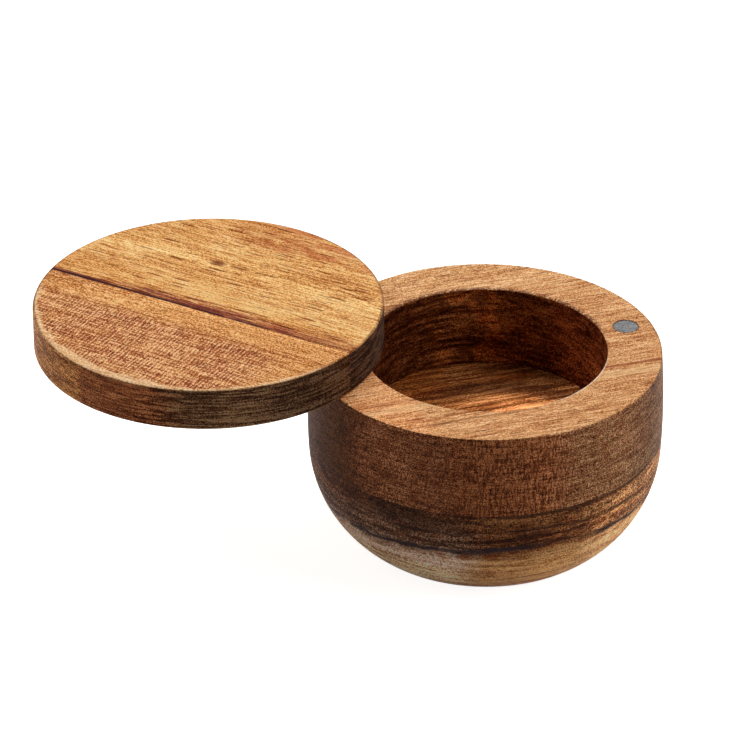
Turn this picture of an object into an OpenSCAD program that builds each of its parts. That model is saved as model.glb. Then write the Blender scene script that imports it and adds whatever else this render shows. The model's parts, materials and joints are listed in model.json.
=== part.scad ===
// Turned acacia salt box with a lid that swivels on an upright pin, in millimetres.
// The base is centred on the origin and stands on z = 0.
// The x axis runs from the pivot pin towards the rim magnet.
// The lid is drawn swung open by swing_open, counted from shut, counter-clockwise seen from above.

/* [Bowl] */
// Outside diameter of the bowl at the rim
rim_d = 100; // [92:1:124]
// Height of the bowl, from the base to the rim
bowl_h = 57; // [47:0.5:70]
// Diameter of the flat base
base_d = 72; // [56:1:80]
// How far the wall swells past the rim, measured on the radius
wall_swell = 0.75; // [0.3:0.05:1.5]
// Depth of the widest level of the wall below the rim
belly_drop = 18.5; // [14:0.5:22]
// Depth below the rim at which the wall turns into the curve of the foot
shoulder_drop = 30; // [26:0.5:34]
// Rounding of the rim's outer edge
rim_edge_r = 0.4; // [0.2:0.1:1]
// Rounding of the edge of the base
base_edge_r = 0.6; // [0.3:0.1:2]

/* [Salt cavity] */
// Diameter of the cavity
cavity_d = 69; // [56:0.5:75]
// Depth of the cavity, which is also the height of the upper ring, because the lower block is its floor
cavity_depth = 24.5; // [19:0.5:26]
// Rounding of the mouth's inner edge
mouth_edge_r = 0.4; // [0.2:0.1:1]

/* [Lid] */
// How far the lid's edge lies inside the rim's edge when the lid is shut
lid_inset = 0.25; // [0:0.05:1]
// Thickness of the lid
lid_h = 12.5; // [11.5:0.5:18]
// Rounding of the lid's upper edge
lid_top_edge_r = 0.6; // [0.3:0.1:2]
// Rounding of the lid's lower edge
lid_low_edge_r = 0.4; // [0.2:0.1:1]
// Gap between the rim and the underside of the lid
lid_gap = 0.3; // [0.2:0.05:0.5]
// Distance from the middle of the lid to the glue joint between its boards
board_joint_offset = 5.8; // [0:0.1:15]
// Angle of that glue joint from the line through pin and magnet, in degrees
board_joint_skew = -4.6; // [-10:0.1:10]

/* [Swivel] */
// Angle that the lid is drawn open, in degrees from shut
swing_open = 137.5; // [0:0.5:222.5]
// Diameter of the pivot pin
pin_d = 5; // [3:0.5:6]
// Length of the pin that is pressed into the bowl
pin_in_bowl = 16; // [10:0.5:17]
// Length of the pin that stands into the lid
pin_in_lid = 8; // [6:0.5:8.5]
// Chamfer on both ends of the pin
pin_chamfer = 0.5; // [0.2:0.1:0.8]
// Clearance of the lid's bore round the pin, on the radius
pin_running_play = 0.05; // [0.03:0.01:0.1]
// Clearance of the bowl's bore round the pressed pin, on the radius
pin_seat_play = 0.01; // [0.01:0.01:0.03]
// Room left past each end of the pin
pin_end_room = 0.7; // [0.5:0.1:1.5]

/* [Magnets] */
// Diameter of the two magnets
magnet_d = 7; // [5:0.5:8]
// Thickness of each magnet
magnet_h = 3; // [2:0.5:5]
// Depth that each magnet lies below the face it is let into
magnet_sink = 0.1; // [0.05:0.05:0.3]
// Clearance of a magnet in its glued pocket, on the radius
magnet_play = 0.05; // [0.03:0.01:0.15]

/* [Hidden] */
$fn = 180;

// Overshoot of a cutting shape past the face that it opens
cut = 1;
// Side of a region that is larger than the whole part
far = 400;

rim_r = rim_d / 2;
base_r = base_d / 2;
cavity_r = cavity_d / 2;
glue_z = bowl_h - cavity_depth;

// The wall is one long arc through the rim and the belly.
belly_r = rim_r + wall_swell;
belly_z = bowl_h - belly_drop;
wall_arc_r = (belly_drop ^ 2 + wall_swell ^ 2) / (2 * wall_swell);
wall_arc_x = belly_r - wall_arc_r;

// The foot is a second arc. It leaves the wall without a corner and ends at the edge of the base.
shoulder_z = bowl_h - shoulder_drop;
shoulder_angle = asin((belly_z - shoulder_z) / wall_arc_r);
shoulder_x = wall_arc_x + wall_arc_r * cos(shoulder_angle);
foot_run = base_r - shoulder_x;
foot_lean = foot_run * cos(shoulder_angle) + shoulder_z * sin(shoulder_angle);
foot_arc_r = -(foot_run ^ 2 + shoulder_z ^ 2) / (2 * foot_lean);
foot_arc_x = shoulder_x - foot_arc_r * cos(shoulder_angle);
foot_arc_z = shoulder_z + foot_arc_r * sin(shoulder_angle);

// The rim's outer edge is a small arc inside the wall arc and the rim plane, touching both.
rim_edge_z = bowl_h - rim_edge_r;
rim_edge_lean = asin((rim_edge_z - belly_z) / (wall_arc_r - rim_edge_r));
rim_edge_x = wall_arc_x + (wall_arc_r - rim_edge_r) * cos(rim_edge_lean);

// The edge of the base is a small arc inside the foot arc and the base plane, touching both.
base_edge_lean = asin((foot_arc_z - base_edge_r) / (foot_arc_r - base_edge_r));
base_edge_x = foot_arc_x + (foot_arc_r - base_edge_r) * cos(base_edge_lean);

// Pin and magnets lie half way through the wall of the rim.
pivot_r = (rim_r + cavity_r) / 2;
lid_r = rim_r - lid_inset;
lid_z = bowl_h + lid_gap;
pin_bore_depth = pin_in_lid - lid_gap + pin_end_room;

// Rounds a corner of the outline given as children. The arc's centre is at (x, z), and the corner lies
// between the directions first and last, in degrees from +x towards +z.
module eased_corner(x, z, r, first, last) {
  difference() {
    children();
    translate([x, z])
      polygon([[0, 0], far * [cos(first), sin(first)], far * [cos(last), sin(last)]]);
  }
  translate([x, z])
    circle(r = r);
}

// Right half of the bowl's outline, solid to the axis and with sharp edges
module bowl_outline() {
  intersection() {
    translate([wall_arc_x, belly_z])
      circle(r = wall_arc_r, $fn = 720);
    translate([0, shoulder_z])
      square([far, bowl_h - shoulder_z]);
  }
  intersection() {
    translate([foot_arc_x, foot_arc_z])
      circle(r = foot_arc_r, $fn = 360);
    square([far, shoulder_z]);
  }
  square([foot_arc_x, shoulder_z]);
}

// Section of the bored ring, with both edges of the rim rounded
module ring_section() {
  eased_corner(cavity_r + mouth_edge_r, bowl_h - mouth_edge_r, mouth_edge_r, 90, 180)
    eased_corner(rim_edge_x, rim_edge_z, rim_edge_r, rim_edge_lean, 90)
      intersection() {
        bowl_outline();
        translate([cavity_r, glue_z])
          square([far, cavity_depth]);
      }
}

// Section of the lower block, with the edge of the base rounded
module block_section() {
  eased_corner(base_edge_x, base_edge_r, base_edge_r, -90, -base_edge_lean)
    intersection() {
      bowl_outline();
      square([far, glue_z]);
    }
}

// Right half of the lid's section, with both edges rounded
module lid_section() {
  eased_corner(lid_r - lid_top_edge_r, lid_h - lid_top_edge_r, lid_top_edge_r, 0, 90)
    eased_corner(lid_r - lid_low_edge_r, lid_low_edge_r, lid_low_edge_r, -90, 0)
      square([lid_r, lid_h]);
}

// Carries a shape from the shut lid to where the lid is swung
module swung() {
  translate([-pivot_r, 0, lid_z])
    rotate([0, 0, swing_open])
      translate([pivot_r, 0, 0])
        children();
}

// Half space on one side of the lid's glue joint: side 1 holds the middle of the lid, side -1 the rest
module board_side(side) {
  rotate([0, 0, board_joint_skew])
    translate([-far / 2, board_joint_offset - (side > 0 ? far : 0), -far / 2])
      cube(far);
}

// The lid in one piece, bored for the pin and pocketed for the magnet, in its shut place above z = 0
module bored_lid() {
  difference() {
    rotate_extrude()
      lid_section();
    translate([-pivot_r, 0, -cut])
      cylinder(h = cut + pin_bore_depth, d = pin_d + 2 * pin_running_play);
    translate([pivot_r, 0, -cut])
      cylinder(h = cut + magnet_h + magnet_sink, d = magnet_d + 2 * magnet_play);
  }
}

module bowl_upper_ring() {
  color("#9c6b3f")
    difference() {
      rotate_extrude()
        ring_section();
      translate([-pivot_r, 0, bowl_h - pin_in_bowl - pin_end_room])
        cylinder(h = pin_in_bowl + pin_end_room + cut, d = pin_d + 2 * pin_seat_play);
      translate([pivot_r, 0, bowl_h - magnet_h - magnet_sink])
        cylinder(h = magnet_h + magnet_sink + cut, d = magnet_d + 2 * magnet_play);
    }
}

module bowl_lower_block() {
  color("#6b4a2b")
    rotate_extrude()
      block_section();
}

module lid_wide_board() {
  color("#c08a4e")
    swung()
      intersection() {
        bored_lid();
        board_side(1);
      }
}

module lid_narrow_board() {
  color("#a9743f")
    swung()
      intersection() {
        bored_lid();
        board_side(-1);
      }
}

module pivot_pin() {
  pin_r = pin_d / 2;
  pin_l = pin_in_bowl + pin_in_lid;
  color("#b4b6b8")
    translate([-pivot_r, 0, bowl_h - pin_in_bowl])
      rotate_extrude()
        polygon([[0, 0], [pin_r - pin_chamfer, 0], [pin_r, pin_chamfer], [pin_r, pin_l - pin_chamfer],
                 [pin_r - pin_chamfer, pin_l], [0, pin_l]]);
}

module rim_magnet() {
  color("#8f959b")
    translate([pivot_r, 0, bowl_h - magnet_sink - magnet_h])
      cylinder(h = magnet_h, d = magnet_d);
}

module lid_magnet() {
  color("#8f959b")
    swung()
      translate([pivot_r, 0, magnet_sink])
        cylinder(h = magnet_h, d = magnet_d);
}

bowl_upper_ring();
bowl_lower_block();
lid_wide_board();
lid_narrow_board();
pivot_pin();
rim_magnet();
lid_magnet();
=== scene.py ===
# Looks, lights and camera for the turned acacia salt box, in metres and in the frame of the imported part.
import json
import math

import bpy
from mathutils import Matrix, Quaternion, Vector


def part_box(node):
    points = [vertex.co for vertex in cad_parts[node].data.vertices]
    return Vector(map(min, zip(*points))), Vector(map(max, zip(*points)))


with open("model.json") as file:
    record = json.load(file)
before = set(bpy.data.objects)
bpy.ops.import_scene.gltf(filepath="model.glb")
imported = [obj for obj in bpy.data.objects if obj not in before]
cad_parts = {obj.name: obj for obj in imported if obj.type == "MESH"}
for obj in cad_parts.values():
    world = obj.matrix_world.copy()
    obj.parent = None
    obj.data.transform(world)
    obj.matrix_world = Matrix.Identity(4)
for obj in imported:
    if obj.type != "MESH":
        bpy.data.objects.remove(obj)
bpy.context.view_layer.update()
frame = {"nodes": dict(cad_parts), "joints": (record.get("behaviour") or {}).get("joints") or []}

MM = 0.001

# The camera, as it was fitted to the photograph. Angles are in degrees and places in the picture in pixels.
PICTURE_SIDE = 750
FOCAL_LENGTH_PX = 4927.45
CAMERA_DISTANCE = 1.39761
CAMERA_ELEVATION = 29.978
CAMERA_AZIMUTH = -19.322
CAMERA_ROLL = 0.750
RIM_CENTRE_PX = (485.925, 348.921)
SENSOR_WIDTH = 36.0

# Sizes of the part that the looks are placed by, in millimetres.
RIM_RADIUS = 50.0
MOUTH_RADIUS = 34.5
LID_RADIUS = 49.75
MAGNET_MIDDLE = (42.25, 0.0, 0.0)
JOINT_OFFSET = 5.8
HATCH_PITCH = 1.15
BOARD_JOINT_SKEW = math.radians(-4.6)

# The oiled surface that all the wood has.
WOOD_ROUGHNESS = 0.58
SHEEN_IN_ROUGHNESS = 0.12
HEIGHT_IN_ROUGHNESS = -0.10
WOOD_IOR = 1.45
WOOD_SPECULAR = 0.05
BUMP_STRENGTH = 0.45
BUMP_DEPTH = 0.0001

# The places of a wood's four colours on the tone of its figure, and the colours as 0 to 255 on screen:
# dark lines, middle, light and the palest fibres.
TONE_STOPS = (0.12, 0.42, 0.60, 0.88)
# The side woods are darker than the tops partly because the turned sides take up more oil and partly as
# painted shade of the sides. block_foot is pale partly as paler wood and partly as painted light from the
# floor.
WOODS = {
    "wide_top": ((150, 80, 30), (230, 160, 88), (248, 192, 120), (255, 228, 166)),
    "wide_side": ((22, 10, 6), (60, 40, 29), (81, 57, 43), (130, 99, 79)),
    "narrow_plain": ((128, 62, 22), (216, 138, 72), (236, 167, 94), (255, 210, 148)),
    "narrow_woven": ((100, 36, 16), (182, 96, 54), (212, 130, 80), (255, 208, 152)),
    "narrow_worn_and_highlit": ((190, 128, 82), (236, 184, 130), (252, 210, 158), (255, 232, 194)),
    "narrow_side": ((42, 16, 5), (110, 60, 30), (138, 84, 48), (188, 134, 90)),
    "rim": ((122, 62, 30), (206, 141, 87), (230, 169, 111), (255, 216, 168)),
    "ring_side": ((36, 11, 3), (106, 51, 21), (134, 71, 36), (198, 128, 82)),
    "cavity_wall": ((38, 12, 4), (94, 40, 14), (137, 72, 30), (206, 140, 80)),
    "cavity_floor": ((54, 21, 6), (114, 58, 21), (150, 85, 37), (216, 148, 88)),
    "block_upper": ((20, 6, 1), (68, 32, 13), (106, 58, 27), (186, 126, 76)),
    "block_foot": ((96, 48, 18), (206, 134, 74), (240, 170, 102), (255, 212, 148)),
}

# Single colours, as 0 to 255 on screen.
KNOT = (112, 34, 8)
KNOT_TAIL = (112, 40, 2)
GLUE_LINE = (62, 24, 20)
RIM_LINE = (150, 68, 36)
RIM_FAINT_LINE = (150, 90, 54)
RIM_PALE_LINE = (240, 200, 146)
MOUTH_PAINTED_HIGHLIGHT = (255, 238, 212)
MOUTH_DARK_FRINGE = (96, 46, 38)
MAGNET_GLUE = (84, 62, 50)
BLOCK_LINE = (36, 27, 36)
BLOCK_FAINT_LINE = (48, 28, 20)
BLOCK_SEAM = (56, 36, 24)

# The metals' colours, and the length, width and height of their scratches in millimetres.
STEEL = (196, 196, 194)
NICKEL = (98, 98, 98)
PIN_SCRATCH = (0.15, 0.15, 6.0)
MAGNET_SCRATCH = (3.0, 0.25, 3.0)

# Factors that the shared marks multiply red, green and blue by.
GROWTH_LINE = (0.62, 0.36, 0.22)
OPEN_PORE = (0.30, 0.12, 0.05)
# LID_EDGE_SHADE darkens a thin outline of painted shade along the lid's rounded upper edge.
LID_EDGE_SHADE = (0.40, 0.30, 0.26)

# The soft lights: degrees round from the camera, degrees up, distance, sides of the panel, and watts.
PANELS = {
    "key": (154.0, 64.0, 1.6, (1.5, 1.2), 20.8),
    "left": (-110.0, 44.0, 1.3, (0.6, 0.9), 3.6),
    "right": (74.0, 36.0, 1.3, (0.6, 0.9), 3.6),
}
AMBIENT = 0.06
FLOOR_SHADE = 0.85
FLOOR_GLOW = 0.90


def srgb(red, green, blue):
    """A colour given as 0 to 255 on screen, as the linear colour that a shader takes."""
    linear = [c / 12.92 if c <= 0.04045 else ((c + 0.055) / 1.055) ** 2.4
              for c in (red / 255, green / 255, blue / 255)]
    return (*linear, 1.0)


def direction(azimuth, elevation):
    """The unit vector towards an azimuth and an elevation in degrees, counted as the views count them."""
    a, e = math.radians(azimuth), math.radians(elevation)
    return Vector((math.sin(a) * math.cos(e), -math.cos(a) * math.cos(e), math.sin(e)))


class Graph:
    """A node tree and short ways to add to it. A value is a number, a tuple or the output of a node."""

    def __init__(self, owner):
        owner.use_nodes = True
        self.nodes = owner.node_tree.nodes
        self.links = owner.node_tree.links
        self.nodes.clear()

    def add(self, kind, inputs=None, **settings):
        node = self.nodes.new("ShaderNode" + kind)
        for key, value in settings.items():
            setattr(node, key, value)
        for key, value in (inputs or {}).items():
            if isinstance(value, bpy.types.NodeSocket):
                self.links.new(value, node.inputs[key])
            else:
                node.inputs[key].default_value = value
        return node

    def maths(self, operation, *values):
        return self.add("Math", dict(enumerate(values)), operation=operation).outputs[0]

    def total(self, first, *rest):
        for value in rest:
            first = self.maths("ADD", first, value)
        return first

    def times(self, first, *rest):
        for value in rest:
            first = self.maths("MULTIPLY", first, value)
        return first

    def vectors(self, operation, *values):
        node = self.add("VectorMath", dict(enumerate(values)), operation=operation)
        return node.outputs["Value" if operation in ("LENGTH", "DISTANCE", "DOT_PRODUCT") else "Vector"]

    def fade(self, value, start, end, low=0.0, high=1.0):
        """Goes smoothly from low to high as value goes from start to end, which may be the smaller one."""
        node = self.add("MapRange", {"Value": value, "From Min": start, "From Max": end,
                                     "To Min": low, "To Max": high}, interpolation_type="SMOOTHSTEP")
        return node.outputs["Result"]

    def noise(self, point, size, detail=2.0, roughness=0.5, output="Fac"):
        """Noise with features of a size along each axis, in the units of point."""
        scaled = self.vectors("DIVIDE", point, size)
        node = self.add("TexNoise", {"Vector": scaled, "Scale": 1.0, "Detail": detail,
                                     "Roughness": roughness})
        return node.outputs[output]

    def lines(self, depth, size, seed, detail=2.0, roughness=0.5):
        """Noise in layers along one depth."""
        place = self.maths("MULTIPLY_ADD", depth, 1.0 / size, seed)
        node = self.add("TexNoise", {"W": place, "Scale": 1.0, "Detail": detail, "Roughness": roughness},
                        noise_dimensions="1D")
        return node.outputs["Fac"]

    def ramp(self, value, stops):
        node = self.add("ValToRGB", {"Fac": value})
        elements = node.color_ramp.elements
        for _ in stops[2:]:
            elements.new(0.5)
        for element, (position, colour) in zip(elements, stops):
            element.position = position
            element.color = colour
        return node.outputs["Color"]

    def blend(self, share, first, second, mode="MIX"):
        node = self.add("Mix", data_type="RGBA", blend_type=mode, clamp_factor=True)
        for index, value in ((0, share), (6, first), (7, second)):
            if isinstance(value, bpy.types.NodeSocket):
                self.links.new(value, node.inputs[index])
            else:
                node.inputs[index].default_value = value
        return node.outputs[2]

    def split(self, vector):
        return self.add("SeparateXYZ", {0: vector}).outputs


class Board:
    """The graph of one block of wood, with the values that its features are placed by, in millimetres."""

    def __init__(self, material, centre, turn, seed, sway=2.0, lean=0.0, level=False):
        g = self.g = Graph(material)
        self.seed = seed
        coordinates = g.add("TexCoord").outputs
        self.point = g.add("Mapping", {"Vector": coordinates["Object"], "Location": centre,
                                       "Rotation": (0.0, 0.0, turn), "Scale": (MM, MM, MM)},
                           vector_type="TEXTURE").outputs[0]
        self.seeded = g.vectors("ADD", self.point, (seed * 37.0, seed * 53.0, seed * 71.0))
        normal = g.add("Mapping", {"Vector": coordinates["Normal"], "Rotation": (0.0, 0.0, turn)},
                       vector_type="TEXTURE").outputs[0]
        self.normal = g.split(normal)
        drift = g.noise(self.seeded, (70.0, 28.0, 28.0), detail=1.0, output="Color")
        shift = g.vectors("MULTIPLY_ADD", drift, (0.0, sway, sway), (0.0, -sway / 2, -sway / 2))
        self.fibre = g.vectors("ADD", self.seeded, shift)
        self.x, self.y, self.z = g.split(self.point)
        swayed = g.split(g.vectors("ADD", self.point, shift))
        first, second = (swayed[2], swayed[1]) if level else (swayed[1], swayed[2])
        self.depth = g.maths("MULTIPLY_ADD", second, lean, first)
        self.round = self.reach((0.0, 0.0, 0.0))
        self.upright = g.fade(g.maths("ABSOLUTE", self.normal[2]), 0.85, 0.35)

    def reach(self, middle):
        """Distance in plan from a point."""
        flat = self.g.vectors("MULTIPLY", self.g.vectors("SUBTRACT", self.point, middle), (1.0, 1.0, 0.0))
        return self.g.vectors("LENGTH", flat)

    def noise(self, size, low=0.35, high=0.65, detail=2.0):
        """Soft noise between 0 and 1, with features of a size along and across the grain."""
        return self.g.fade(self.g.noise(self.seeded, size, detail=detail), low, high)

    def band(self, value, middle, half, soft, wander=0.0):
        """1 where value is within half of middle, and 0 soft further out."""
        g = self.g
        if wander:
            jog = g.noise(self.seeded, (22.0, 4.0, 4.0), detail=2.0)
            value = g.maths("MULTIPLY_ADD", g.maths("SUBTRACT", jog, 0.5), wander, value)
        gap = g.maths("ABSOLUTE", g.maths("SUBTRACT", value, middle))
        return g.fade(gap, half + soft, half)

    def spot(self, middle, radii, wander, grain):
        """A soft spot round a point, with an edge that wanders along the grain."""
        g = self.g
        offset = g.vectors("DIVIDE", g.vectors("SUBTRACT", self.point, middle), radii)
        away = g.vectors("LENGTH", offset)
        jog = g.noise(self.seeded, grain, detail=3.0)
        away = g.maths("MULTIPLY_ADD", g.maths("SUBTRACT", jog, 0.5), 2.0 * wander, away)
        return g.fade(away, 1.0, 0.35)

    def stained(self, share, colour, factors):
        """The colour multiplied by three factors where share is 1."""
        g = self.g
        return g.blend(share, colour, g.blend(1.0, colour, (*factors, 1.0), "MULTIPLY"))

    def stained_along(self, colour, steps):
        """The colour changed along x. A step is where it begins, where it is full, and its factors. These
        tints stand partly for the wood's own changes and partly for painted light and shade.
        """
        for begin, full, factors in steps:
            colour = self.stained(self.g.fade(self.x, begin, full), colour, factors)
        return colour


def pores(board, length, width, size):
    """Open pores: long dashes on the faces and dots on the end grain, from 0 to 1."""
    g = board.g
    scaled = g.vectors("DIVIDE", board.fibre, (length, width, width))
    node = g.add("TexVoronoi", {"Vector": scaled, "Scale": 1.0, "Randomness": 1.0})
    return g.fade(node.outputs["Distance"], size, 0.75 * size)


def finish_wood(board, grain, colour):
    """Marks the colour with lines and pores, and wires it, roughness and bump to an oiled surface."""
    g = board.g
    height = grain.height()
    sheen = g.noise(board.seeded, (14.0, 5.0, 5.0), detail=3.0)
    roughness = g.total(WOOD_ROUGHNESS, g.times(sheen, SHEEN_IN_ROUGHNESS),
                        g.times(height, HEIGHT_IN_ROUGHNESS))
    normal = g.add("Bump", {"Height": height, "Strength": BUMP_STRENGTH, "Distance": BUMP_DEPTH}).outputs[0]
    shader = g.add("BsdfPrincipled", {"Base Color": grain.opened(colour), "Roughness": roughness,
                                      "Normal": normal, "IOR": WOOD_IOR,
                                      "Specular IOR Level": WOOD_SPECULAR})
    g.add("OutputMaterial", {"Surface": shader.outputs[0]})


def toned(g, tone, wood):
    """The colours of a wood, spread over a tone."""
    return g.ramp(tone, [(stop, srgb(*colour)) for stop, colour in zip(TONE_STOPS, WOODS[wood])])


class Grain:
    """The figure that all the wood shares. Each part of it runs from 0 to 1, and tone weighs the parts."""

    def __init__(self, board, band_size=9.0, ring_size=1.5, streak=(16.0, 5.0, 1.3), line_gap=5.0,
                 line_share=0.6, open_pores=1.0):
        g = self.g = board.g
        self.board = board
        point, fibre, depth = board.seeded, board.fibre, board.depth
        self.parts = {
            "bands": g.lines(depth, band_size, board.seed + 0.3, detail=3.0, roughness=0.6),
            "rings": g.lines(depth, ring_size, board.seed + 7.1, detail=2.0, roughness=0.7),
            "clouds": g.noise(point, (38.0, 12.0, 12.0), detail=2.0),
            "streaks": g.noise(fibre, streak, detail=3.0),
            "fibres": g.fade(g.noise(fibre, (8.0, 0.52, 0.52), detail=1.0), 0.36, 0.64),
            "flecks": g.fade(g.noise(fibre, (0.80, 0.44, 0.44), detail=0.0), 0.32, 0.68),
            "specks": g.fade(g.noise(point, (0.27, 0.46, 0.27), detail=0.0), 0.34, 0.66),
            "ripple": g.fade(g.noise(point, (0.42, 2.6, 2.6), detail=1.0), 0.38, 0.62),
            "strata": g.fade(g.noise(fibre, (9.0, 9.0, 0.50), detail=1.0), 0.36, 0.64),
        }
        jog = g.noise(fibre, (22.0, 3.0, 3.0), detail=2.0)
        growth = g.lines(g.maths("MULTIPLY_ADD", jog, 1.8, depth), line_gap, board.seed + 3.7, detail=1.0)
        near = g.fade(g.maths("ABSOLUTE", g.maths("SUBTRACT", growth, 0.5)), 0.050, 0.012)
        broken = g.fade(g.noise(fibre, (13.0, 1.5, 1.5), detail=2.0), 0.44, 0.60)
        self.growth = g.times(near, broken, line_share)
        dashes = pores(board, 14.0, 1.5, 0.23)
        holes = pores(board, 24.0, 2.1, 0.16)
        crowd = g.fade(g.noise(point, (30.0, 6.0, 6.0), detail=2.0), 0.35, 0.65, 0.25, 1.0)
        self.pores = g.times(g.maths("MAXIMUM", g.times(dashes, crowd), holes), open_pores)

    def tone(self, **weights):
        """The place on a ramp of colours that the named parts give together."""
        tone = 0.5 - sum(weights.values()) / 2
        for name, weight in weights.items():
            tone = self.g.maths("MULTIPLY_ADD", self.parts[name], weight, tone)
        return tone

    def opened(self, colour):
        """The colour with growth lines in it and, where the face lies flat, the dark of open pores."""
        colour = self.board.stained(self.growth, colour, GROWTH_LINE)
        open_share = self.g.times(self.pores, self.g.maths("SUBTRACT", 1.0, self.board.upright))
        return self.board.stained(open_share, colour, OPEN_PORE)

    def height(self):
        """The relief of the finest parts, for roughness and bump."""
        g = self.g
        return g.total(g.times(self.parts["fibres"], 0.6), g.times(self.parts["flecks"], 0.5),
                       g.times(self.parts["specks"], 0.4))


def wide_board_wood(material, place):
    board = Board(material, *place, seed=2.0, sway=3.0, lean=0.5)
    g = board.g
    grain = Grain(board, line_gap=3.6, line_share=0.5)
    top_tone = grain.tone(bands=0.30, rings=0.28, clouds=0.6, fibres=0.30, flecks=0.30, specks=0.30)
    top = toned(g, top_tone, "wide_top")
    side_tone = grain.tone(bands=0.3, clouds=0.3, fibres=0.2, specks=0.5, strata=0.6)
    side = toned(g, side_tone, "wide_side")
    cream = board.band(board.depth, -21.0, 2.0, 3.0, 8.0)
    top = board.stained(g.times(cream, 0.7), top, (1.08, 1.14, 1.16))
    mottle = g.maths("MULTIPLY_ADD", board.noise((10.0, 3.0, 3.0), 0.40, 0.62, detail=3.0), 0.75, 0.25)
    red = g.times(board.band(board.depth, -46.0, 8.0, 5.0, 8.0), g.fade(board.x, 24.0, -4.0), mottle)
    top = board.stained(red, top, (0.72, 0.46, 0.42))
    amber = board.band(board.depth, -1.0, 3.0, 5.0, 4.0)
    top = board.stained(g.times(amber, 0.6), top, (0.92, 0.82, 0.70))
    top = glue_line_streak(board, top)
    top = small_knot(board, top)
    top = painted_lid_edge_shade(board, top)
    finish_wood(board, grain, g.blend(board.upright, top, side))


def small_knot(board, top):
    """The small knot of the wide board and the thin dark tail beside it."""
    g = board.g
    knot = board.spot((9.0, -20.8, 0.0), (3.4, 1.6, 30.0), 0.35, (3.0, 0.6, 3.0))
    top = g.blend(g.times(knot, 0.85), top, srgb(*KNOT))
    tail = g.times(board.band(board.y, -21.3, 0.15, 0.40, 1.6), g.fade(board.x, 9.0, 4.0),
                   g.fade(board.x, -16.0, -8.0), board.noise((5.0, 3.0, 3.0), 0.46, 0.56))
    return g.blend(g.times(tail, 0.85), top, srgb(*KNOT_TAIL))


def painted_lid_edge_shade(board, top):
    """A thin dark outline of painted shade round the lid's rounded upper edge, broken in places."""
    g = board.g
    kept = g.maths("MULTIPLY_ADD", board.noise((9.0, 6.0, 6.0), 0.30, 0.60), 0.6, 0.3)
    edge = g.fade(board.round, LID_RADIUS - 0.95, LID_RADIUS - 0.45)
    return board.stained(g.times(edge, kept), top, LID_EDGE_SHADE)


def glue_line_streak(board, top):
    """The purple streak that runs along the glue line and frays into the wide board."""
    g = board.g
    away = g.maths("SUBTRACT", JOINT_OFFSET, board.y)
    fray = g.maths("SUBTRACT", g.noise(board.fibre, (12.0, 1.0, 1.0), detail=4.0, roughness=0.6), 0.5)
    width = g.fade(board.x, 38.0, 4.0, 2.4, 5.6)
    spread = g.maths("MULTIPLY_ADD", fray, 2.6, g.maths("DIVIDE", away, width))
    strength = g.fade(board.x, -46.0, -20.0, 0.45, 1.0)
    washed = g.maths("MULTIPLY_ADD", board.noise((16.0, 0.9, 0.9), 0.38, 0.58, detail=4.0), 0.5, 0.68)
    wash = g.times(g.fade(spread, 1.05, 0.45), strength, washed)
    top = board.stained(wash, top, (0.60, 0.35, 0.46))
    heart = g.times(wash, board.noise((14.0, 0.55, 0.55), 0.45, 0.54))
    top = board.stained(heart, top, (0.40, 0.26, 0.38))
    broken = board.noise((12.0, 6.0, 6.0), 0.34, 0.52)
    core = g.times(g.fade(away, 1.45, 0.8), broken, g.fade(board.x, -34.0, -14.0, 0.30, 1.0))
    return g.blend(core, top, srgb(*GLUE_LINE))


def narrow_board_wood(material, place):
    board = Board(material, *place, seed=5.0, sway=2.0, lean=0.3)
    g = board.g
    grain = Grain(board, open_pores=0.35, line_share=0.35)
    top = narrow_board_edges(board, grain, woven_figure(board, grain))
    side = narrow_board_side(board, grain)
    finish_wood(board, grain, g.blend(board.upright, top, side))


def woven_figure(board, grain):
    """Plain grain by the glue line, and away from it a ruddy cross figure like a weave."""
    g = board.g
    wave = g.maths("MULTIPLY_ADD", g.noise(board.seeded, (3.2, 3.2, 3.2), detail=1.0), 7.0,
                   g.times(board.x, 2 * math.pi / HATCH_PITCH))
    hatch = g.maths("SINE", wave)
    patches = g.maths("MULTIPLY_ADD", board.noise((12.0, 6.0, 6.0), 0.30, 0.65), 0.35, 0.60)
    figured = g.times(g.fade(board.y, 12.0, 20.0), g.fade(board.x, -42.0, -24.0), patches)
    plain_tone = grain.tone(bands=0.36, rings=0.2, clouds=0.5, fibres=0.26, flecks=0.42, specks=0.40)
    woven_tone = grain.tone(bands=0.1, clouds=0.22, streaks=0.08, fibres=0.50, flecks=0.26, specks=0.55,
                            ripple=0.36)
    woven_tone = g.maths("MULTIPLY_ADD", hatch, 0.24, woven_tone)
    return g.blend(figured, toned(g, plain_tone, "narrow_plain"), toned(g, woven_tone, "narrow_woven"))


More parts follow.
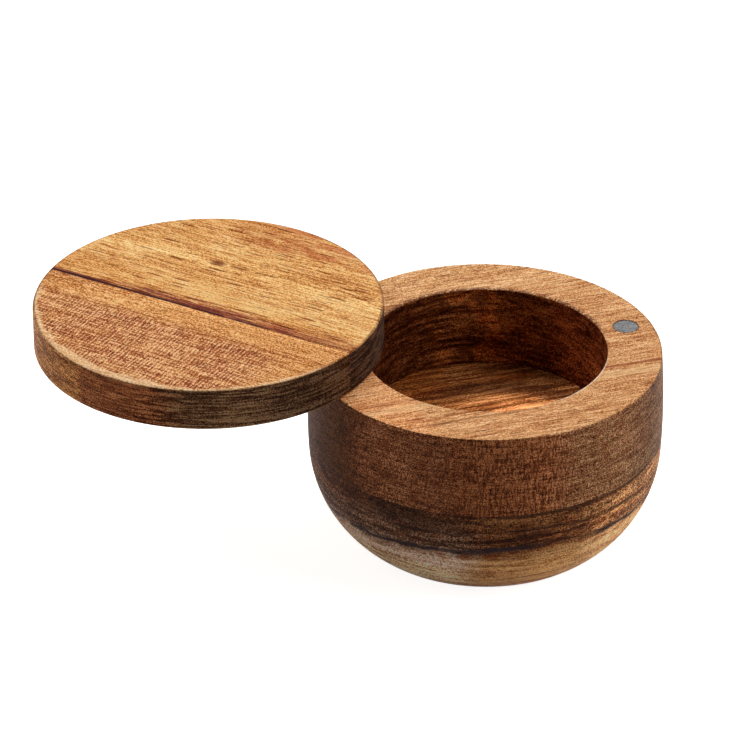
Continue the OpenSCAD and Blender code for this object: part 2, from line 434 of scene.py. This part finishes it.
def narrow_board_edges(board, grain, top):
    """The light line and the lilac tinge by the glue line, and the rim of the lid, pale at the front partly
    from wear and partly as a painted highlight, with the painted shade of the edge elsewhere.
    """
    g = board.g
    light = g.times(board.band(board.y, JOINT_OFFSET + 0.6, 0.3, 0.9), g.fade(board.x, 32.0, 15.0),
                    g.maths("MULTIPLY_ADD", board.noise((8.0, 4.0, 4.0)), 0.6, 0.3))
    top = board.stained(light, top, (1.22, 1.30, 1.40))
    lilac = g.times(g.fade(board.y, 9.5, 6.5), g.fade(board.x, 26.0, 40.0), board.noise((5.0, 1.2, 1.2)))
    top = board.stained(lilac, top, (0.80, 0.74, 1.05))
    # The pale cream rim at the front left is partly wear and partly a painted highlight on the rounded edge;
    # the dark edge outline is left off there.
    jog = g.noise(board.seeded, (7.0, 4.0, 4.0), detail=3.0)
    ragged = g.maths("MULTIPLY_ADD", jog, 3.2, board.round)
    start = g.maths("ADD", g.fade(board.x, -26.0, 0.0, 0.0, -2.1), g.fade(board.x, 14.0, 34.0, 49.9, 51.3))
    worn_and_highlit = g.fade(g.maths("SUBTRACT", ragged, start), 0.0, 0.9)
    cream = toned(g, grain.tone(clouds=0.6, fibres=0.2, flecks=0.3, specks=0.3), "narrow_worn_and_highlit")
    top = g.blend(g.times(worn_and_highlit, g.fade(board.y, 10.0, 24.0), 0.9), top, cream)
    away_from_pale_rim = g.maths("MAXIMUM", g.fade(board.y, 24.0, 10.0), g.fade(board.x, 24.0, 38.0))
    return g.blend(away_from_pale_rim, top, painted_lid_edge_shade(board, top))


def narrow_board_side(board, grain):
    """The turned side: golden to the magnet's end and red-brown in the middle, partly as the wood's own
    colour and partly as painted light, darker to the pin's end, with a thin painted shadow just under the top
    edge.
    """
    g = board.g
    tone = grain.tone(bands=0.2, clouds=0.5, fibres=0.2, specks=0.60)
    layers = g.maths("SUBTRACT", grain.parts["strata"], 0.5)
    tone = g.maths("MULTIPLY_ADD", layers, g.fade(board.x, 4.0, -16.0, 0.3, 0.6), tone)
    side = toned(g, tone, "narrow_side")
    red_brown = g.times(g.fade(board.x, 14.0, 12.0), g.fade(board.x, -22.0, -8.0))
    side = board.stained(red_brown, side, (1.45, 1.18, 1.05))
    side = board.stained_along(side, ((12.0, 14.0, (2.35, 2.4, 1.85)),
                                      (-8.0, -22.0, (0.80, 1.0, 1.15)),
                                      (-30.0, -46.0, (0.60, 0.58, 0.62))))
    # Painted shadow: a thin dark band just under the lid's top edge on the side.
    painted_shadow_under_edge = g.times(board.band(board.z, -1.0, 0.35, 0.5), g.fade(board.x, 20.0, 12.0),
                    board.noise((8.0, 8.0, 3.0)), 0.9)
    return board.stained(painted_shadow_under_edge, side, (0.40, 0.34, 0.34))


def upper_ring_wood(material, place):
    board = Board(material, *place, seed=8.0, sway=2.0, lean=0.15)
    g = board.g
    grain = Grain(board, band_size=8.0, line_gap=4.0, line_share=0.5, open_pores=0.7)
    top_tone = grain.tone(bands=0.22, rings=0.20, clouds=0.35, fibres=0.26, flecks=0.24, specks=0.34)
    top = mouth_and_magnet(board, rim_lines(board, toned(g, top_tone, "rim")))
    inside = g.fade(board.round, MOUTH_RADIUS + 2.0, MOUTH_RADIUS + 0.7)
    side = g.blend(inside, ring_side(board, grain), cavity_wall(board, grain))
    finish_wood(board, grain, g.blend(board.upright, top, side))


def rim_lines(board, top):
    """The lines that cross the rim, and its paler back."""
    g = board.g
    line = g.times(board.band(board.y, -20.4, 0.2, 0.9, 2.0), g.fade(board.x, 14.0, 30.0, 0.3, 0.8))
    top = g.blend(line, top, srgb(*RIM_LINE))
    faint = g.times(board.band(board.y, -35.5, 0.1, 0.6, 2.4), g.fade(board.x, 8.0, -8.0), 0.7)
    top = g.blend(faint, top, srgb(*RIM_FAINT_LINE))
    pale = g.times(board.band(board.y, -24.6, 0.8, 1.6, 2.0), 0.4)
    top = g.blend(pale, top, srgb(*RIM_PALE_LINE))
    # The paler back of the rim is partly the wood's own colour and partly painted light.
    return board.stained(g.fade(board.y, 28.0, 38.0), top, (1.08, 1.14, 1.18))


def mouth_and_magnet(board, top):
    """A painted highlight and a dark stippled fringe along the mouth, a thin dark outline of painted shade on
    the rim's outer edge, painted light that makes the rim paler at the left, and the magnet's glue.
    """
    g = board.g
    past_mouth = g.maths("SUBTRACT", board.round, MOUTH_RADIUS)
    # Painted highlight: a pale line along the front right of the mouth's rounded edge.
    mouth_highlight = g.times(g.fade(past_mouth, 0.6, 0.35), g.fade(board.y, -13.0, -21.0),
                    g.fade(board.x, 2.0, 16.0), 0.8)
    top = g.blend(mouth_highlight, top, srgb(*MOUTH_PAINTED_HIGHLIGHT))
    # A dark stippled fringe along the back of the mouth's edge.
    stipple = g.fade(g.noise(board.seeded, (0.6, 0.6, 0.6), detail=1.0), 0.38, 0.52)
    dark_fringe = g.times(g.fade(past_mouth, 2.0, 0.4), stipple, g.fade(board.y, -8.0, 6.0), 0.85)
    top = g.blend(dark_fringe, top, srgb(*MOUTH_DARK_FRINGE))
    # Painted shade: a thin dark outline along the rim's rounded outer edge, from a little in front of the
    # middle to the back.
    outline = g.times(g.fade(board.round, RIM_RADIUS - 0.6, RIM_RADIUS - 0.1),
                      g.fade(board.y, -24.0, -12.0), 0.8)
    top = board.stained(outline, top, (0.46, 0.38, 0.36))
    # Painted light: the rim is made paler to the left, where the lid casts its shadow.
    top = board.stained_along(top, ((-24.0, -34.0, (1.20, 1.14, 1.12)),))
    glue = g.times(board.band(board.reach(MAGNET_MIDDLE), 3.68, 0.10, 0.16), 0.8)
    return g.blend(glue, top, srgb(*MAGNET_GLUE))


def ring_side(board, grain):
    """The turned outside of the ring."""
    g = board.g
    ripple = g.maths("SUBTRACT", grain.parts["ripple"], 0.5)
    ripple_share = g.fade(g.maths("ABSOLUTE", g.maths("ADD", board.x, 7.0)), 20.0, 8.0, 0.10, 0.34)
    tone = grain.tone(bands=0.10, clouds=0.26, streaks=0.14, fibres=0.08, strata=0.20, specks=0.58)
    tone = g.maths("MULTIPLY_ADD", ripple, ripple_share, tone)
    side = toned(g, tone, "ring_side")
    # The tints along x are partly the wood's own changes and partly painted light and shade: the greyer parts
    # toward both sides are a painted sheen, and the darker far right and the dark olive left edge are painted
    # shade.
    side = board.stained_along(side, ((-11.0, 0.0, (1.28, 1.34, 1.42)),
                                      (0.0, 14.0, (1.22, 1.64, 1.96)),
                                      (24.0, 40.0, (0.66, 0.66, 0.64)),
                                      (-22.0, -29.0, (1.08, 1.18, 1.40)),
                                      (-44.0, -48.5, (0.42, 0.44, 0.34))))
    side = board.stained(board.band(board.x, -39.5, 2.5, 4.0), side, (1.35, 1.45, 1.5))
    dusk = g.times(g.fade(board.z, 39.0, 32.5), g.fade(board.x, -14.0, -26.0),
                   board.noise((8.0, 8.0, 4.0)), 0.8)
    side = board.stained(dusk, side, (0.55, 0.60, 0.66))
    low = g.times(g.fade(board.z, 44.0, 34.0), g.fade(board.x, 12.0, 30.0))
    return board.stained(low, side, (0.98, 1.06, 1.05))


def cavity_wall(board, grain):
    """The bored inside of the ring: streaks at the left and back, dull end grain at the right."""
    g = board.g
    tone = grain.tone(clouds=0.8, streaks=1.25, fibres=0.22, specks=0.5)
    wall = toned(g, tone, "cavity_wall")
    orange = g.times(board.band(board.x, 10.0, 8.0, 8.0),
                     board.noise((8.0, 8.0, 7.0), 0.46, 0.62, detail=3.0))
    wall = board.stained(orange, wall, (2.0, 1.9, 1.6))
    dusky = g.times(board.noise((9.0, 9.0, 6.0), 0.50, 0.36, detail=3.0), g.fade(board.x, 31.0, 24.0))
    wall = board.stained(dusky, wall, (0.74, 0.68, 0.68))
    # Painted shade: the wall is darker to the left.
    wall = board.stained_along(wall, ((-6.0, -20.0, (0.58, 0.50, 0.52)),
                                      (24.0, 31.0, (1.05, 0.82, 0.86))))
    lip = g.times(g.fade(board.z, 54.0, 56.3), board.noise((6.0, 6.0, 2.0)), 0.8)
    return board.stained(lip, wall, (0.5, 0.42, 0.45))


def lower_block_wood(material, place):
    board = Board(material, *place, seed=11.0, sway=2.5, lean=0.08, level=True)
    g = board.g
    grain = Grain(board, band_size=6.0, ring_size=1.3, streak=(15.0, 8.0, 1.2), line_gap=4.0,
                  line_share=0.9, open_pores=0.3)
    outside = block_lines(board, block_outside(board, grain))
    facing_up = g.fade(board.normal[2], 0.8, 0.95)
    finish_wood(board, grain, g.blend(facing_up, outside, cavity_floor(board, grain)))


def block_outside(board, grain):
    """The dark upper part and the pale foot, with their changes round the block. The foot is pale partly as
    paler wood and partly as painted light from the floor, and the tints round the block are partly the wood
    and partly painted light, shade and sheen.
    """
    g = board.g
    tone = grain.tone(bands=0.40, rings=0.26, clouds=0.4, streaks=0.95, fibres=0.2, specks=0.56)
    foot = board.stained_along(toned(g, tone, "block_foot"), ((2.0, 16.0, (0.66, 0.66, 0.70)),
                                                              (-10.0, -22.0, (0.90, 0.88, 0.92))))
    jog = g.maths("SUBTRACT", g.noise(board.seeded, (24.0, 10.0, 4.0), detail=3.0), 0.5)
    level = g.maths("MULTIPLY_ADD", jog, 9.0, board.z)
    colour = g.blend(g.fade(level, 21.0, 12.5), toned(g, tone, "block_upper"), foot)
    # Lighter toward the right: partly the wood and partly painted light.
    colour = board.stained_along(colour, ((-6.0, 12.0, (1.4, 1.45, 1.45)),
                                          (8.0, 24.0, (1.65, 1.85, 2.0))))
    pale = g.times(g.fade(board.x, 8.0, 24.0), g.fade(board.x, 46.0, 34.0), g.fade(board.z, 11.0, 18.0))
    colour = board.stained(pale, colour, (1.5, 1.62, 1.8))
    # Painted sheen: a grey lightening of the lower left side, which lies in shade.
    painted_grey_sheen = g.times(g.fade(board.x, -14.0, -26.0), g.fade(board.z, 30.0, 22.0))
    colour = board.stained(painted_grey_sheen, colour, (1.7, 2.55, 3.9))
    orange = board.spot((18.0, -46.0, 23.5), (24.0, 14.0, 3.4), 0.6, (12.0, 9.0, 1.4))
    colour = board.stained(orange, colour, (1.2, 1.12, 1.05))
    blotch = board.spot((-34.0, -32.0, 29.5), (26.0, 28.0, 5.5), 0.55, (9.0, 9.0, 3.0))
    colour = board.stained(g.times(blotch, 0.9), colour, (0.50, 0.56, 0.66))
    dim = g.times(g.fade(board.z, 9.0, 14.0), g.fade(board.x, -12.0, -24.0))
    return board.stained(dim, colour, (0.84, 0.80, 0.95))


def block_lines(board, colour):
    """The dark line above the foot, a fainter one over it, and the glue seam under the ring."""
    g = board.g
    breaks = g.maths("MAXIMUM", g.fade(board.x, 4.0, -6.0), g.fade(board.x, 12.0, 20.0))
    line = g.times(board.band(board.depth, 16.7, 0.3, 0.8, 3.0), breaks,
                   board.noise((14.0, 8.0, 8.0), 0.30, 0.50), 0.9)
    colour = g.blend(line, colour, srgb(*BLOCK_LINE))
    faint = g.times(board.band(board.depth, 22.8, 0.2, 0.7, 3.0),
                    board.noise((12.0, 8.0, 8.0), 0.40, 0.60), 0.6)
    colour = g.blend(faint, colour, srgb(*BLOCK_FAINT_LINE))
    seam = g.times(board.band(board.z, 32.2, 0.3, 0.5, 0.6), g.fade(board.x, -24.0, -8.0), 0.8)
    return g.blend(seam, colour, srgb(*BLOCK_SEAM))


def cavity_floor(board, grain):
    """The block's top face, which is the floor of the cavity, with painted light and shade on it: a shadow
    arc across the back, a pool of light to the front right and a thin band of light at the back.
    """
    g = board.g
    layers = g.fade(g.noise(board.fibre, (26.0, 2.2, 8.0), detail=3.0), 0.32, 0.68, -0.20, 0.20)
    tone = g.maths("ADD", grain.tone(clouds=0.5, fibres=0.25, flecks=0.2, specks=0.45), layers)
    floor = toned(g, tone, "cavity_floor")
    # Painted shadow: a dark arc across the floor where the wall's shadow falls.
    dusk = g.times(board.band(board.reach((0.0, -16.0, 0.0)), 35.5, 1.5, 3.5, 6.0),
                   g.fade(board.x, -16.0, 4.0))
    floor = board.stained(dusk, floor, (0.45, 0.42, 0.45))
    floor = board.stained_along(floor, ((2.0, -12.0, (0.90, 0.78, 0.62)),))
    # Painted light: a pool of light on the front right of the floor.
    painted_light_pool = g.times(g.fade(board.y, 20.0, 6.0), g.fade(board.x, -14.0, 9.0),
                  g.fade(board.y, -16.0, 4.0, 0.35, 1.0))
    floor = board.stained(painted_light_pool, floor, (3.3, 3.7, 4.5))
    # Painted light: a thin paler band at the back left of the floor.
    back = g.times(g.fade(board.y, 27.0, 31.0), g.fade(board.x, 16.0, 4.0))
    return board.stained(back, floor, (1.45, 1.5, 1.5))


def metal(material, base, scratch, rough, centre):
    """Bare or plated metal with fine scratches and a slightly uneven tone."""
    g = Graph(material)
    point = g.add("Mapping", {"Vector": g.add("TexCoord").outputs["Object"], "Location": centre,
                              "Scale": (MM, MM, MM)}, vector_type="TEXTURE").outputs[0]
    cloud = g.noise(point, (0.45, 0.45, 0.45), detail=1.0)
    marks = g.noise(point, scratch, detail=2.0, roughness=0.7)
    tone = g.total(g.times(cloud, 0.6), g.times(marks, 0.4))
    dark, pale = (tuple(c * share for c in base[:3]) + (1.0,) for share in (0.55, 1.45))
    colour = g.ramp(tone, [(0.42, dark), (0.60, pale)])
    roughness = g.maths("MULTIPLY_ADD", marks, 0.25, rough - 0.12)
    normal = g.add("Bump", {"Height": marks, "Strength": 0.4, "Distance": 0.00003}).outputs[0]
    shader = g.add("BsdfPrincipled", {"Base Color": colour, "Metallic": 1.0, "Roughness": roughness,
                                      "Normal": normal})
    g.add("OutputMaterial", {"Surface": shader.outputs[0]})


def middle(node):
    low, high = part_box(node)
    return (low + high) / 2


def dress(node, build, *values):
    """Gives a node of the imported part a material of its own."""
    material = bpy.data.materials.new(node + "_finish")
    build(material, *values)
    mesh = frame["nodes"][node].data
    mesh.materials.clear()
    mesh.materials.append(material)
    mesh.polygons.foreach_set("material_index", [0] * len(mesh.polygons))


def seen_directly(g):
    """1 for the rays that show the backdrop itself: from the camera, by reflection and through glass."""
    rays = g.add("LightPath").outputs
    seen = g.maths("MAXIMUM", rays["Is Camera Ray"], rays["Is Glossy Ray"])
    return g.maths("MAXIMUM", seen, rays["Is Transmission Ray"])


def make_world():
    world = bpy.data.worlds.new("studio")
    bpy.context.scene.world = world
    g = Graph(world)
    strength = g.maths("MULTIPLY_ADD", seen_directly(g), 1.0 - AMBIENT, AMBIENT)
    background = g.add("Background", {"Color": (1.0, 1.0, 1.0, 1.0), "Strength": strength})
    g.add("OutputWorld", {"Surface": background.outputs[0]})


def make_floor():
    half = 4.0
    drop = -0.0001
    mesh = bpy.data.meshes.new("floor")
    mesh.from_pydata([(-half, -half, drop), (half, -half, drop), (half, half, drop), (-half, half, drop)],
                     [], [(0, 1, 2, 3)])
    floor = bpy.data.objects.new("floor", mesh)
    bpy.context.scene.collection.objects.link(floor)
    material = bpy.data.materials.new("floor_paper")
    g = Graph(material)
    shade = g.add("BsdfDiffuse", {"Color": (FLOOR_SHADE, FLOOR_SHADE, FLOOR_SHADE, 1.0)})
    glow = g.add("Emission", {"Color": (1.0, 1.0, 1.0, 1.0),
                              "Strength": g.times(seen_directly(g), FLOOR_GLOW)})
    both = g.add("AddShader", {0: shade.outputs[0], 1: glow.outputs[0]})
    g.add("OutputMaterial", {"Surface": both.outputs[0]})
    mesh.materials.append(material)


def make_camera(rim_centre):
    """A camera that sees the middle of the rim where the photograph has it."""
    back = direction(CAMERA_AZIMUTH, CAMERA_ELEVATION)
    data = bpy.data.cameras.new("camera")
    data.sensor_width = SENSOR_WIDTH
    data.lens = FOCAL_LENGTH_PX / PICTURE_SIDE * SENSOR_WIDTH
    data.clip_start = 0.05
    data.clip_end = 50.0
    camera = bpy.data.objects.new("camera", data)
    bpy.context.scene.collection.objects.link(camera)
    half = PICTURE_SIDE / 2
    right, down = RIM_CENTRE_PX[0] - half, RIM_CENTRE_PX[1] - half
    aim = Vector((right / FOCAL_LENGTH_PX, -down / FOCAL_LENGTH_PX, -1.0))
    turn = Vector((0.0, 0.0, -1.0)).rotation_difference(aim)
    roll = Quaternion((0.0, 0.0, 1.0), math.radians(CAMERA_ROLL))
    camera.location = rim_centre + CAMERA_DISTANCE * back
    camera.rotation_mode = "QUATERNION"
    camera.rotation_quaternion = (-back).to_track_quat("-Z", "Y") @ roll @ turn.inverted()
    bpy.context.scene.camera = camera


def make_lights(target):
    for name, (azimuth, elevation, distance, sides, watts) in PANELS.items():
        back = direction(CAMERA_AZIMUTH + azimuth, elevation)
        data = bpy.data.lights.new(name, "AREA")
        data.shape = "RECTANGLE"
        data.size, data.size_y = sides
        data.energy = watts
        lamp = bpy.data.objects.new(name, data)
        bpy.context.scene.collection.objects.link(lamp)
        lamp.location = target + distance * back
        lamp.rotation_mode = "QUATERNION"
        lamp.rotation_quaternion = (-back).to_track_quat("-Z", "Y")


rim_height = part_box("bowl_upper_ring")[1].z
pivot = Vector(frame["joints"][0]["pos_m"])
arm = middle("lid_magnet") - pivot
lid_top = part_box("lid_wide_board")[1].z
lid_centre = Vector((pivot.x + arm.x / 2, pivot.y + arm.y / 2, lid_top))
lid_place = (lid_centre, math.atan2(arm.y, arm.x) + BOARD_JOINT_SKEW)
bowl_place = (Vector((0.0, 0.0, 0.0)), 0.0)

dress("lid_wide_board", wide_board_wood, lid_place)
dress("lid_narrow_board", narrow_board_wood, lid_place)
dress("bowl_upper_ring", upper_ring_wood, bowl_place)
dress("bowl_lower_block", lower_block_wood, bowl_place)
dress("pivot_pin", metal, srgb(*STEEL), PIN_SCRATCH, 0.34, middle("pivot_pin"))
dress("rim_magnet", metal, srgb(*NICKEL), MAGNET_SCRATCH, 0.5, middle("rim_magnet"))
dress("lid_magnet", metal, srgb(*NICKEL), MAGNET_SCRATCH, 0.5, middle("lid_magnet"))

bpy.context.scene.view_settings.view_transform = "Standard"
make_world()
make_floor()
make_lights(Vector((0.0, 0.0, rim_height)))
make_camera(Vector((0.0, 0.0, rim_height)))
